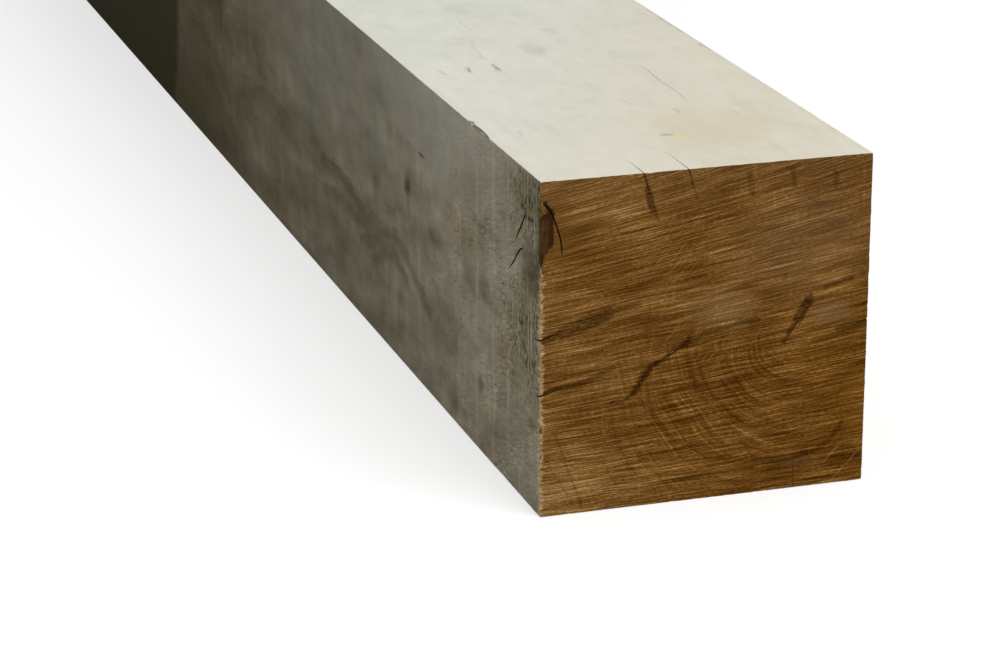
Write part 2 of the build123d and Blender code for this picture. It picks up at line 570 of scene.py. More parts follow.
# %% [markdown]
# ## The cross-cut ends
# Fresh oak end grain is a warm brown. Three things cross on it: the annual rings about the heart, the
# pale rays that run out from the heart, and the chainsaw's streaks over both. The heart lies to the
# right of the middle. The streaks carry most of the contrast, so the tone starts from three widths of
# them, and the rings and rays only nudge it. One function mixes this wood for both ends. Only the cut
# end was seen, so only it gets lighter and darker areas and the marks of the next step.

# %% Mix the end grain
HEART = (60.0, 98.0)
RAYS_PER_RADIAN = 42.0
STREAK_DEPTH = 900.0
END_SHINE = 0.02
END_BUMP = 0.4
# Lighter and darker areas: centre, radii and what they add to the tone
END_AREAS = [
    ((-94.0, 12.0), (70.0, 48.0), 0.16),
    ((-18.0, 14.0), (38.0, 24.0), 0.09),
    ((80.0, 12.0), (44.0, 24.0), -0.06),
    ((18.0, 80.0), (50.0, 36.0), -0.09),
    ((16.0, 117.0), (26.0, 20.0), 0.07),
    ((96.0, 60.0), (48.0, 90.0), -0.02),
    ((85.0, 185.0), (50.0, 36.0), -0.06),
    ((-62.0, 182.0), (46.0, 22.0), 0.06),
    ((-98.0, 110.0), (30.0, 60.0), 0.05),
]


def crosscut_end(name, shown):
    """The brown end grain of one end, with areas and marks of its own where it is shown."""
    finish = Finish(name, END_SHINE)
    face = finish.flat(finish.across, finish.up)
    climb = finish.lift(CUT_CLIMB_LOW, (finish.up, (CUT_CLIMB_HIGH - CUT_CLIMB_LOW) / beam_height))
    line = finish.math("SUBTRACT", finish.up, finish.times(climb, finish.across))
    cut = finish.add("ShaderNodeCombineXYZ", finish.across, line, finish.along).outputs[0]
    cut = finish.sway(cut, (26.0, 13.0, STREAK_DEPTH), 1.1)
    broad = finish.grain(cut, (75.0, 6.0, STREAK_DEPTH))
    middle = finish.grain(cut, (56.0, 1.7, STREAK_DEPTH))
    fine = finish.grain(cut, (30.0, 0.75, STREAK_DEPTH), 1.0, 0.6)
    pore = finish.grain(cut, (2.4, 0.8, STREAK_DEPTH))

    wavy = finish.sway(finish.sway(face, (50.0, 50.0), 7.0), (12.0, 12.0), 1.2)
    offset = finish.vmath("SUBTRACT", wavy, (*HEART, 0))
    radius = finish.measure("LENGTH", offset)
    east, north, _ = finish.add("ShaderNodeSeparateXYZ", offset).outputs
    angle = finish.math("ARCTAN2", north, east)
    ring = finish.grain(finish.flat(radius, angle), (1.6, 1.4))
    year = finish.grain(finish.flat(radius, angle), (4.5, 1.8))
    clear = finish.math("ADD", finish.spot(face, (10.0, 58.0), (95.0, 66.0), 0.8), 0.15)
    worn = finish.fade(finish.grain(face, (16.0, 16.0)), 0.35, 0.6, 0.35, 1.0)
    clear = finish.times(clear, worn, finish.fade(radius, 8.0, 45.0, 0.4, 1.0))
    ringed = finish.times(finish.weigh(0.0, (ring, 0.85), (year, 0.45)), clear)
    ray = finish.grain(finish.flat(finish.times(angle, RAYS_PER_RADIAN), radius), (1.0, 22.0))
    patch = finish.grain(face, (45.0, 32.0), 2.0)

    tone = finish.weigh(
        0.5, (broad, 0.36), (middle, 0.5), (finish.fade(fine, 0.25, 0.75), 0.48), (pore, 0.6), (patch, 0.4)
    )
    tone = finish.math("ADD", tone, ringed)
    tone = finish.lift(tone, (finish.fade(ray, 0.62, 0.76), 0.08))
    for row in END_AREAS if shown else []:
        tone = finish.math("ADD", tone, finish.spot(face, *row))
    colour = finish.ramp(tone, [
        (0.0, (52, 27, 3)),
        (0.3, (88, 54, 14)),
        (0.5, (112, 75, 30)),
        (0.7, (140, 101, 52)),
        (1.0, (188, 150, 98)),
    ])
    if shown:
        colour = cut_end_marks(finish, face, colour)
    height = finish.weigh(0.5, (middle, 0.8), (fine, 0.8))
    return finish.close(colour, finish.fade(tone, 0.2, 0.8, 0.75, 0.92), height, END_BUMP)


# %% [markdown]
# ## The marks of the cut end
# Water got in at the checks and left dark stains about them, wide in some places and hardly there in
# others. A knot on the left arris is wrapped in bark, dark brown above a frayed pale edge. The saw was
# set in twice, so short pale scratches cross its main streaks. Each stain is a soft stroke through a
# few points, given with its half width, its softness and its strength.

# %% Where the stains of the cut end lie
END_STAINS = [
    ([(-39.4, 200.0), (-37.0, 191.0)], 0.2, 1.2, 0.65),
    ([(-37.0, 190.0), (-34.5, 182.0), (-33.0, 178.0)], 0.9, 2.2, 0.95),
    ([(-32.5, 177.0), (-31.0, 172.0)], 0.3, 1.6, 0.65),
    ([(-12.6, 200.0), (-10.5, 192.0), (-7.5, 182.0)], 0.2, 1.4, 0.55),
    ([(24.0, 193.0), (26.5, 182.0)], 0.4, 3.4, 0.6),
    ([(50.0, 195.0), (51.5, 184.0)], 0.3, 3.2, 0.6),
    ([(77.0, 190.0), (76.5, 183.0)], 0.3, 3.2, 0.55),
    ([(-99.0, 106.5), (-92.0, 108.5), (-80.0, 112.0)], 1.2, 2.8, 0.95),
    ([(-86.0, 110.5), (-74.0, 114.5), (-60.0, 119.0)], 2.4, 4.0, 0.92),
    ([(-60.0, 119.5), (-52.0, 121.0), (-42.0, 123.0)], 0.8, 4.0, 0.62),
    ([(-100.0, 75.0), (-88.0, 77.5)], 0.3, 1.6, 0.95),
    ([(-88.0, 77.0), (-73.0, 79.5), (-64.0, 83.2), (-56.0, 86.0)], 0.5, 3.2, 0.68),
    ([(-58.0, 65.5), (-51.0, 64.5), (-44.0, 70.5)], 0.3, 2.0, 0.65),
    ([(-44.0, 70.5), (-38.7, 77.5), (-33.7, 84.6)], 1.0, 2.2, 1.0),
    ([(-33.7, 84.6), (-27.5, 87.6), (-19.0, 92.4)], 0.6, 2.0, 0.95),
    ([(-19.0, 92.4), (-10.0, 98.5)], 0.8, 2.8, 0.78),
    ([(-8.0, 99.5), (6.0, 103.0), (20.0, 106.0)], 0.4, 3.0, 0.6),
    ([(20.0, 106.5), (31.0, 106.5)], 0.8, 3.0, 0.7),
    ([(47.5, 91.0), (51.0, 96.5)], 0.3, 1.6, 0.8),
    ([(51.0, 96.5), (56.0, 104.0)], 0.7, 2.0, 0.95),
    ([(56.0, 104.0), (62.5, 114.5)], 1.9, 2.6, 1.05),
    ([(62.5, 114.5), (64.5, 118.0)], 0.5, 1.8, 0.7),
    ([(82.0, 95.5), (92.0, 97.0), (99.5, 99.0)], 0.9, 3.2, 0.65),
    ([(73.0, 121.3), (80.0, 123.3), (89.0, 126.0)], 0.4, 2.8, 0.8),
    ([(89.0, 126.0), (97.0, 127.5)], 0.2, 2.4, 0.5),
    ([(47.0, 134.0), (48.0, 129.0)], 0.3, 2.6, 0.5),
    ([(-62.0, 2.0), (-25.0, 11.0), (0.0, 14.5), (30.0, 17.0)], 0.4, 4.0, 0.55),
    ([(20.0, 42.0), (24.0, 33.0), (31.0, 23.0), (36.0, 19.5)], 0.3, 4.0, 0.5),
    ([(32.0, 20.0), (47.0, 17.8), (60.0, 19.5)], 0.8, 4.0, 0.62),
    ([(56.0, 19.0), (64.0, 21.0)], 0.8, 3.0, 0.75),
    ([(63.0, 20.5), (70.5, 22.5), (80.5, 30.0), (86.0, 38.0)], 0.3, 3.2, 0.6),
    ([(60.0, 15.5), (80.0, 16.0), (99.0, 17.0)], 0.3, 2.6, 0.5),
    ([(56.0, 14.0), (56.8, 1.0)], 0.15, 1.2, 0.55),
    ([(-8.0, 76.0), (0.0, 62.0), (12.5, 47.5), (35.0, 27.5)], 0.5, 3.8, 0.46),
    ([(10.0, 72.0), (25.0, 52.5), (50.0, 37.5)], 0.5, 3.2, 0.44),
    ([(-40.0, 66.0), (-24.0, 44.0), (2.0, 26.0), (32.0, 20.0)], 0.4, 3.4, 0.46),
    ([(-92.0, 52.0), (-83.0, 28.0), (-74.0, 4.0)], 0.2, 1.4, 0.5),
    ([(-99.0, 40.0), (-80.0, 6.0)], 0.2, 1.4, 0.42),
]
print(f"{len(END_STAINS)} stains on the cut end")

# %% Where the second cut scratched the end
SECOND_CUT = math.radians(47)
SECOND_CUT_SPOTS = [
    ((-20.0, 154.0), (30.0, 24.0), 0.5),
    ((88.0, 12.0), (34.0, 24.0), 0.6),
    ((2.0, 98.0), (40.0, 26.0), 0.4),
]
print(f"{len(SECOND_CUT_SPOTS)} places where the second cut shows")

# %% Fray the left arris, on the end and on the side alike
FRAY_TOP = (146.0, 156.0)
END_FRAY = 2.1
SIDE_FRAY = 4.5


def frayed_arris(finish, face, colour, from_arris, reach):
    """Lays the pale fibres that the saw tore at the left arris over a colour, from the knot down."""
    rough = finish.grain(face, (2.0 * reach, 2.4), 2.0, 0.6)
    edge = finish.weigh(from_arris, (rough, -4.0 * reach))
    frayed = finish.times(
        finish.fade(edge, 0.3 * reach, 1.3 * reach, 0.85, 0.0),
        finish.fade(finish.lift(finish.up, (rough, 12.0)), *FRAY_TOP, 1.0, 0.0),
    )
    fibre = finish.grain(face, (1.6 * reach, 1.7), 2.0)
    pale = finish.ramp(fibre, [(0.3, (122, 97, 63)), (0.5, (170, 144, 105)), (0.7, (212, 190, 157))])
    return finish.tint(frayed, colour, pale)


# %% Add what only the cut end shows
def cut_end_marks(finish, face, colour):
    """Lays the stains, scratches, knot and frayed arris of the cut end over its colour."""
    marked = finish.sway(finish.sway(face, (16.0, 16.0), 1.6), (3.0, 1.6), 0.9)
    rough = finish.grain(face, (4.0, 1.6), 2.0, 0.6)

    warm = finish.spot(face, (40.0, 44.0), (150.0, 105.0), 0.95)
    colour = finish.tint(warm, colour, paint(252, 246, 222), "MULTIPLY")
    warm_right = finish.spot(face, (104.0, 70.0), (64.0, 150.0), 0.75)
    colour = finish.tint(warm_right, colour, paint(255, 252, 229), "MULTIPLY")
    greyed = finish.most(
        finish.fade(finish.up, 160.0, 200.0, 0.0, 0.1),
        finish.spot(marked, (62.0, 152.0), (70.0, 48.0), 0.18),
        finish.spot(marked, (10.0, 116.0), (32.0, 18.0), 0.24),
        finish.spot(marked, (76.0, 106.0), (20.0, 10.0), 0.32),
    )
    colour = finish.tint(greyed, colour, paint(136, 110, 80))

    stain = finish.ragged(finish.most(*[finish.stroke(marked, *row) for row in END_STAINS]), rough)
    stain = finish.times(stain, finish.fade(rough, 0.3, 0.62, 1.0, 0.62))
    colour = finish.tint(stain, colour, paint(132, 116, 88), "MULTIPLY")
    purple = finish.spot(marked, (57.0, 15.5), (16.0, 5.0), 0.35)
    colour = finish.tint(purple, colour, paint(88, 60, 42))

    lengthwise = finish.measure("DOT_PRODUCT", face, (math.cos(SECOND_CUT), math.sin(SECOND_CUT), 0))
    crosswise = finish.measure("DOT_PRODUCT", face, (-math.sin(SECOND_CUT), math.cos(SECOND_CUT), 0))
    second = finish.sway(finish.flat(lengthwise, crosswise), (40.0, 20.0), 2.0)
    scratch = finish.fade(finish.grain(second, (26.0, 1.2)), 0.58, 0.72)
    where = finish.most(*[finish.spot(face, *row) for row in SECOND_CUT_SPOTS])
    colour = finish.tint(finish.times(scratch, where), colour, paint(168, 130, 74))

    halo = finish.spot(marked, (-91.0, 166.0), (24.0, 28.0), 0.42)
    colour = finish.tint(halo, colour, paint(90, 60, 14))
    olive = finish.most(
        finish.spot(marked, (-99.0, 184.0), (3.5, 4.0), 0.6),
        finish.spot(marked, (-90.5, 165.0), (3.6, 11.0), 0.5),
    )
    olive = finish.times(olive, finish.fade(rough, 0.35, 0.6, 0.3, 1.0))
    colour = finish.tint(olive, colour, paint(116, 92, 36))
    rim = finish.most(
        finish.stroke(marked, [(-97.6, 187.0), (-94.6, 182.0), (-93.4, 178.0)], 0.7, 1.0),
        finish.stroke(marked, [(-97.2, 175.5), (-97.4, 166.0)], 4.4, 1.4),
        finish.stroke(marked, [(-94.6, 180.5), (-96.0, 175.0)], 1.8, 1.4),
        finish.stroke(marked, [(-97.6, 168.0), (-98.8, 160.0)], 2.6, 1.4),
        finish.stroke(marked, [(-98.6, 164.0), (-100.2, 150.0)], 1.4, 1.6),
        finish.stroke(marked, [(-100.0, 160.0), (-100.0, 145.0)], 1.2, 1.6),
    )
    colour = finish.tint(rim, colour, paint(54, 34, 15))
    core = finish.stroke(marked, [(-97.6, 175.0), (-98.8, 160.0)], 0.8, 3.4, 0.85)
    bark = finish.grain(face, (1.4, 8.0), 2.0)
    colour = finish.tint(core, colour, finish.ramp(bark, [(0.3, (48, 30, 12)), (0.7, (96, 66, 33))]))

    from_arris = finish.math("ADD", finish.across, beam_width / 2)
    return frayed_arris(finish, face, colour, from_arris, END_FRAY)


# %% Make the two ends
end_grain = crosscut_end("crosscut_end_grain", True)
far_end_grain = crosscut_end("far_end_grain", False)

# %% [markdown]
# ## The weathered sides
# Rain and sun have turned the sides grey-brown. The grain runs along them and bends round a knot, and
# the bandsaw's ridges stand upright across it. Near the cut end the surface is rough, and farther
# back it is smooth and cloudy, so the short dashes die away with the distance from the end. The left
# side, the right side and the underside share this wood, mixed by one function. On the two that were
# not seen the clouds are stretched along the grain, which gives plain timber.

# %% Mix the weathered sides
PLAIN_STRETCH = 4.0
SLANT_END = 350.0
GRAIN_TILT = 0.3
SPECK_TILT = 0.42
SIDE_SHINE = 0.05
SIDE_BUMP = 0.3


def weathered_side(name, level, shown):
    """Grey sawn wood for an upright or a level face, with marks of its own where it is shown."""
    finish = Finish(name, SIDE_SHINE)
    stretch = 1.0 if shown else PLAIN_STRETCH
    up = finish.across if level else finish.up
    face = finish.flat(finish.along, up)
    near = finish.math("MINIMUM", finish.along, SLANT_END)
    slant = finish.math("ADD", near, finish.times(near, near, -1 / (2 * SLANT_END)))
    tilted = finish.lift(up, (slant, GRAIN_TILT))
    slanted = finish.sway(finish.flat(finish.along, tilted), (40.0, 20.0), 5.0)

    cloud = finish.grain(slanted, (80.0 * stretch, 26.0), 2.0, 0.55)
    mottle = finish.grain(finish.sway(face, (20.0, 20.0), 6.0), (17.0 * stretch, 19.0))
    patch = finish.grain(face, (70.0 * stretch, 95.0), 2.0)
    dash = finish.grain(slanted, (13.0, 2.3), 2.0, 0.6)
    saw = finish.grain(finish.sway(face, (30.0, 50.0), 2.0), (4.0, 60.0), 2.0)
    kerf = finish.grain(finish.sway(face, (40.0, 80.0), 1.5), (2.6, 75.0))
    flame = finish.grain(finish.sway(face, (45.0, 24.0), 9.0), (85.0 * stretch, 11.0), 2.0, 0.55)
    vein = finish.fade(finish.math("ABSOLUTE", finish.math("SUBTRACT", flame, 0.5)), 0.0, 0.05, 1.0, 0.0)
    roughness = finish.fade(finish.along, 20.0, 220.0, 0.62, 0.06)
    dashes = finish.times(finish.math("SUBTRACT", dash, 0.5), roughness)

    steeper = finish.lift(up, (slant, SPECK_TILT))
    speck_place = finish.sway(finish.flat(finish.along, steeper), (30.0, 18.0), 3.0)
    speck = finish.grain(speck_place, (8.0, 1.7), 2.0, 0.6)
    crowded = finish.fade(finish.grain(face, (45.0, 30.0)), 0.4, 0.62, 0.2, 1.0)
    specked = finish.times(crowded, finish.fade(finish.along, 40.0, 320.0, 1.0, 0.1))
    dark_specks = finish.times(finish.fade(speck, 0.56, 0.7), specked)
    pale_specks = finish.times(finish.fade(speck, 0.44, 0.3), specked)

    sawn = finish.times(finish.fade(finish.along, 250.0, 650.0, 0.3, 0.0), crowded)
    tone = finish.weigh(0.52, (cloud, 0.8), (mottle, 0.32), (saw, 0.06), (kerf, sawn))
    tone = finish.math("ADD", tone, dashes)
    tone = finish.lift(tone, (vein, -0.06), (dark_specks, -0.42), (pale_specks, 0.3))
    olive = finish.ramp(tone, [
        (0.0, (86, 81, 62)),
        (0.35, (121, 116, 98)),
        (0.6, (145, 140, 122)),
        (1.0, (186, 181, 162)),
    ])
    pinkish = finish.ramp(tone, [
        (0.0, (88, 77, 56)),
        (0.35, (123, 112, 91)),
        (0.6, (147, 136, 115)),
        (1.0, (188, 177, 154)),
    ])
    colour = finish.tint(finish.fade(patch, 0.28, 0.72), olive, pinkish)
    if shown:
        colour = left_side_marks(finish, face, colour, cloud)
    height = finish.lift(finish.weigh(0.5, (saw, 0.06), (mottle, 0.25)), (dashes, 0.55))
    return finish.close(colour, finish.fade(tone, 0.2, 0.8, 0.8, 0.94), height, SIDE_BUMP)


# %% [markdown]
# ## The marks of the left side
# Only the left side was seen. Its upper half is bleached like the top, its corner by the cut end is
# dark, and veins swirl about a knot halfway down. Far back lies a black band with a sharp edge, and a
# brown one in front of it. These marks are given as strokes and spots in millimetres along the beam
# and up it, and noise frays them.

# %% Where the marks of the left side lie
SIDE_VEINS = [
    ([(255.0, 151.5), (310.0, 152.5)], 0.35),
    ([(720.0, 76.0), (640.0, 92.0), (560.0, 88.0), (495.0, 92.0)], 0.45),
    ([(620.0, 77.0), (540.0, 80.0), (490.0, 79.0)], 0.35),
    ([(484.0, 86.0), (440.0, 88.0), (410.0, 85.0), (372.0, 79.0)], 1.0),
    ([(478.0, 66.0), (440.0, 72.0), (400.0, 71.0)], 0.7),
    ([(382.0, 57.0), (350.0, 66.0), (325.0, 80.0)], 0.85),
    ([(325.0, 80.0), (296.0, 84.0), (262.0, 74.0), (222.0, 58.0)], 0.85),
    ([(352.0, 54.0), (325.0, 64.0), (300.0, 69.0), (272.0, 62.0)], 0.8),
    ([(395.0, 68.0), (360.0, 78.0), (332.0, 93.0), (300.0, 98.0)], 0.7),
    ([(205.0, 73.0), (165.0, 66.0), (140.0, 66.0)], 0.5),
    ([(72.0, 30.0), (58.0, 41.0)], 0.4),
    ([(86.0, 27.0), (70.0, 37.0)], 0.4),
    ([(66.0, 36.0), (52.0, 44.0)], 0.35),
]
VEIN_SHADOW = 9.0
VEIN_DROP = 3.5
VEIN_LINE = 4.0
SIDE_BLOTCHES = [
    ((268.5, 123.0), (10.0, 14.0), 0.95),
    ((266.0, 111.0), (6.0, 11.0), 0.5),
    ((325.0, 72.0), (60.0, 24.0), 0.4),
    ((112.5, 42.5), (9.0, 8.0), 0.95),
    ((101.0, 106.0), (20.0, 10.0), 0.55),
    ((138.0, 105.0), (16.0, 11.0), 0.45),
    ((206.0, 106.0), (24.0, 10.0), 0.5),
    ((168.0, 12.0), (18.0, 12.0), 0.55),
    ((145.0, 8.0), (10.0, 11.0), 0.55),
    ((285.0, 40.0), (14.0, 40.0), 0.45),
    ((345.0, 95.0), (12.0, 26.0), 0.4),
    ((18.0, 186.0), (40.0, 26.0), 1.0),
    ((12.0, 146.0), (36.0, 30.0), 0.9),
    ((24.0, 112.0), (30.0, 22.0), 0.45),
    ((16.0, 92.0), (16.0, 14.0), 0.6),
    ((14.0, 52.0), (12.0, 8.0), 0.4),
]
SAW_RIDGES = [17.5, 37.0, 59.0, 87.5, 120.0, 155.0, 192.5, 244.0]
print(f"{len(SIDE_VEINS)} veins, {len(SIDE_BLOTCHES)} blotches, {len(SAW_RIDGES)} ridges on the left side")

# %% Where the dark bands of the left side lie
BROWN_EDGE = 785.0
BROWN_SOFTNESS = 8.0
LOW_BROWN = (640.0, 930.0)
BLACK_EDGE = 959.0
BLACK_SOFTNESS = 20.0
BLACK_LEAN = 0.22
BLACK_END = 1600.0
BLACK_FADE = 250.0
DARK_BAND_WANDER = 30.0
print(f"brown from {BROWN_EDGE:.0f} mm, black from {BLACK_EDGE:.0f} to about {BLACK_END:.0f} mm")

# %% Add what only the left side shows
def left_side_marks(finish, face, colour, cloud):
    """Lays the bleached part, ridges, veins, blotches, scrapes, the darkening towards the far end and the
    dark bands far back over the left side.
    """
    marked = finish.sway(finish.sway(face, (40.0, 26.0), 4.0), (9.0, 7.0), 1.0)
    worn = finish.fade(finish.grain(face, (25.0, 40.0)), 0.42, 0.6, 0.15, 1.0)
    rough = finish.grain(face, (16.0, 4.0), 2.0)
    bleached = finish.most(
        finish.spot(marked, (230.0, 206.0), (240.0, 90.0), 0.42),
        finish.spot(marked, (500.0, 180.0), (340.0, 110.0), 0.28),
    )
    colour = finish.tint(bleached, colour, paint(170, 169, 159))
    ridge = finish.most(*[
        finish.stroke(marked, [(place, 0.0), (place, beam_height)], 0.3, 3.2, 0.21) for place in SAW_RIDGES
    ])
    colour = finish.tint(finish.times(ridge, worn), colour, paint(186, 181, 163))

    shadows = []
    lines = []
    for points, strength in SIDE_VEINS:
        below = [(along, up - VEIN_DROP) for along, up in points]
        shadows.append(finish.stroke(marked, below, 0.0, VEIN_SHADOW, 0.5 * strength))
        lines.append(finish.stroke(marked, points, 0.0, VEIN_LINE, 0.58 * strength))
    broken_lines = finish.times(finish.most(*lines), finish.fade(rough, 0.36, 0.56))
    veins = finish.most(*shadows, broken_lines)
    smudged = finish.sway(marked, (10.0, 9.0), 3.5)
    blotches = finish.most(*[finish.spot(smudged, *row) for row in SIDE_BLOTCHES])
    blotches = finish.times(blotches, finish.fade(cloud, 0.3, 0.65, 1.0, 0.5))
    colour = finish.tint(finish.most(veins, blotches), colour, paint(66, 61, 44))

    banded = finish.most(
        finish.spot(face, (4.0, 100.0), (85.0, 62.0)), finish.spot(face, (8.0, 180.0), (75.0, 50.0))
    )
    clustered = finish.fade(finish.grain(face, (15.0, 20.0)), 0.38, 0.58, 0.35, 1.0)
    colour = finish.tint(finish.times(banded, 0.4), colour, paint(118, 106, 74))
    scrape = finish.grain(finish.sway(face, (14.0, 30.0), 2.0), (2.6, 4.6), 3.0, 0.65)
    dark_scrapes = finish.times(finish.fade(scrape, 0.54, 0.37), banded, clustered)
    colour = finish.tint(dark_scrapes, colour, paint(48, 43, 27))
    hair = finish.grain(finish.sway(face, (20.0, 60.0), 1.2), (1.7, 70.0))
    pale_scrapes = finish.most(finish.fade(scrape, 0.58, 0.7), finish.fade(hair, 0.58, 0.72))
    colour = finish.tint(finish.times(pale_scrapes, banded, 0.5), colour, paint(186, 180, 155))

    metres = finish.times(finish.along, MM)
    # The side is made darker step by step towards the far end: partly stain, partly painted shade for the
    # weaker light on the far part.
    far_stain_and_shade = finish.ramp(metres, [
        (0.12, (255, 255, 255)),
        (0.22, (240, 240, 240)),
        (0.40, (215, 215, 213)),
        (0.60, (204, 202, 197)),
        (0.80, (180, 176, 165)),
    ])
    colour = finish.tint(1.0, colour, far_stain_and_shade, "MULTIPLY")

    # Dark bands far back: a brown one from BROWN_EDGE, and a black one from BLACK_EDGE with a sharp,
    # leaning edge that fades out about BLACK_END. The clouds make both edges wander.
    edge = finish.weigh(finish.along, (cloud, DARK_BAND_WANDER))
    upper_brown = finish.times(
        finish.fade(edge, BROWN_EDGE - BROWN_SOFTNESS, BROWN_EDGE + BROWN_SOFTNESS),
        finish.fade(finish.up, 85.0, 130.0),
    )
    lower_brown = finish.times(finish.fade(edge, *LOW_BROWN), finish.fade(finish.up, 130.0, 30.0))
    brown = finish.times(finish.most(upper_brown, lower_brown), 0.66)
    colour = finish.tint(brown, colour, paint(62, 55, 36))
    leaning = finish.lift(edge, (finish.up, BLACK_LEAN))
    black = finish.times(
        finish.fade(leaning, BLACK_EDGE, BLACK_EDGE + BLACK_SOFTNESS),
        finish.fade(edge, BLACK_END - BLACK_FADE, BLACK_END + BLACK_FADE, 1.0, 0.0),
        0.93,
    )
    colour = finish.tint(black, colour, paint(47, 43, 26))
    knot = finish.stroke(marked, [(0.0, 176.0), (0.0, 155.0)], 2.0, 4.0)
    colour = finish.tint(knot, colour, paint(66, 48, 30))
    return frayed_arris(finish, face, colour, finish.along, SIDE_FRAY)


# %% Make the three weathered faces
left_grey = weathered_side("weathered_left_side", False, True)
plain_grey = weathered_side("weathered_right_side", False, False)
under_grey = weathered_side("weathered_underside", True, False)

# %% [markdown]
# ## The bleached top
# The top lay in the sun and went almost white, cooler to the left and warmer to the right. A small
# knot near the cut end has bled a yellow stain, and a few thin marks follow the grain.

# %% Where the marks of the top lie
TOP_MARKS = [
    ([(-82.0, 245.0), (-83.0, 255.0)], 0.3, 2.0, 0.2),
    ([(-46.5, 242.0), (-46.0, 262.0)], 0.3, 2.0, 0.25),
    ([(-65.0, 246.0), (-63.0, 258.0)], 0.3, 2.0, 0.2),
    ([(-47.0, 275.0), (-42.0, 320.0)], 0.2, 1.6, 0.11),
    ([(-32.0, 350.0), (-30.0, 417.0)], 0.2, 1.6, 0.1),
    ([(24.0, 117.0), (25.0, 124.0)], 0.5, 2.2, 0.18),
    ([(2.0, 141.0), (3.0, 153.0)], 0.3, 2.2, 0.12),
    ([(-80.0, 97.0), (-79.5, 104.0)], 0.3, 2.2, 0.18),
    ([(100.0, 255.0), (100.0, 390.0)], 0.2, 4.0, 0.22),
]
TOP_CLOUDS = [
    ((-11.0, 290.0), (11.0, 24.0), 0.17),
    ((17.0, 334.0), (7.0, 14.0), 0.12),
    ((-40.0, 330.0), (16.0, 12.0), 0.08),
    ((-18.0, 415.0), (22.0, 30.0), 0.07),
    ((0.5, 72.0), (6.0, 5.0), 0.4),
]
print(f"{len(TOP_MARKS)} thin marks and {len(TOP_CLOUDS)} clouds on the top")

# %% Mix the bleached top
TOP_SHINE = 0.15
TOP_ROUGHNESS = 0.88
TOP_BUMP = 0.15


def bleached_top():
    """The sun-bleached wood of the top, with its knot, its yellow stain and its thin marks."""
    finish = Finish("bleached_top", TOP_SHINE)
    face = finish.flat(finish.across, finish.along)
    blotch = finish.grain(face, (55.0, 70.0), 3.0, 0.55)
    mottle = finish.grain(finish.sway(face, (18.0, 30.0), 5.0), (11.0, 22.0), 2.0, 0.5)
    streak = finish.grain(finish.sway(face, (30.0, 90.0), 3.0), (5.0, 160.0))
    tone = finish.weigh(0.55, (blotch, 0.66), (mottle, 0.44), (streak, 0.2))
    warm = finish.ramp(tone, [
        (0.0, (193, 184, 156)),
        (0.5, (220, 214, 195)),
        (1.0, (233, 229, 215)),
    ])
    cool = finish.ramp(tone, [
        (0.0, (199, 197, 185)),
        (0.5, (223, 223, 211)),
        (1.0, (237, 238, 233)),
    ])
    to_right = finish.lift(finish.across, (finish.along, -0.45))
    to_right = finish.weigh(to_right, (blotch, 120.0))
    colour = finish.tint(finish.fade(to_right, -240.0, 40.0), cool, warm)
    marked = finish.sway(finish.sway(face, (25.0, 25.0), 6.0), (4.0, 8.0), 0.7)
    cloudy = finish.sway(marked, (30.0, 30.0), 22.0)
    halo = finish.spot(cloudy, (27.0, 76.0), (52.0, 66.0), 0.6)
    colour = finish.tint(halo, colour, paint(214, 203, 177))
    bled = finish.spot(marked, (7.5, 69.0), (9.0, 11.0), 0.55)
    colour = finish.tint(bled, colour, paint(228, 207, 164))
    smudged = finish.sway(marked, (12.0, 16.0), 5.0)
    dark = finish.most(
        *[finish.stroke(marked, *row) for row in TOP_MARKS],
        *[finish.spot(smudged, *row) for row in TOP_CLOUDS],
    )
    colour = finish.tint(dark, colour, paint(118, 111, 94))
    height = finish.weigh(0.5, (streak, 0.6), (mottle, 0.6))
    return finish.close(colour, TOP_ROUGHNESS, height, TOP_BUMP)


pale_top = bleached_top()

# %% [markdown]
# ## Inside the checks and chips
# The walls of a deep check are painted dark brown, much darker than the end grain: partly the wood's
# own colour and partly painted shade, the shade that falls inside a narrow crack. The shallow gouges of
# the top are as bleached as the top itself, and a shallow check of the side is as grey as the side.
# Where a splinter has broken off the top arris, the torn fibres are nearly as grey as the side, with a
# few paler ones. On the arris of the cut end they are fresher and browner. Each of these gets one small
# noise along the fibres.

# %% Mix the walls of the checks and the torn chips
WALL_SHINE = 0.1
WALL_ROUGHNESS = 0.95
FIBRE = (4.0, 12.0, 4.0)
TORN_FIBRE = (4.0, 11.0, 4.0)
FRAYED_FIBRE = (2.0, 3.0, 2.6)
# Name, size of the fibres, stops of the ramp and depth of the bump
FIBRE_WALLS = {
    # The dark brown of a deep check's walls is partly painted shade for the inside of the crack.
    "wall": ("check_wall", FIBRE, [(0.2, (38, 24, 10)), (0.8, (72, 48, 23))], 0.2),
    "pale_wall": ("bleached_wall", FIBRE, [(0.2, (174, 170, 155)), (0.8, (214, 210, 196))], 0.2),
    "grey_wall": ("weathered_wall", FIBRE, [(0.2, (72, 66, 50)), (0.8, (112, 105, 88))], 0.2),
    "torn": (
        "torn_fibre", TORN_FIBRE,
        [(0.3, (110, 102, 84)), (0.55, (132, 125, 108)), (0.72, (190, 181, 154))], 0.4,
    ),
    "frayed": (
        "frayed_fibre", FRAYED_FIBRE,
        [(0.32, (60, 42, 22)), (0.5, (110, 84, 52)), (0.7, (178, 152, 112))], 0.4,
    ),
}


def fibre_wall(name, lengths, stops, depth):
    """Torn or split wood: one noise along the fibres gives its colour and its bump."""
    finish = Finish(name, WALL_SHINE)
    patch = finish.grain(finish.place, lengths, 2.0)
    return finish.close(finish.ramp(patch, stops), WALL_ROUGHNESS, patch, depth)


walls = {kind: fibre_wall(*row) for kind, row in FIBRE_WALLS.items()}

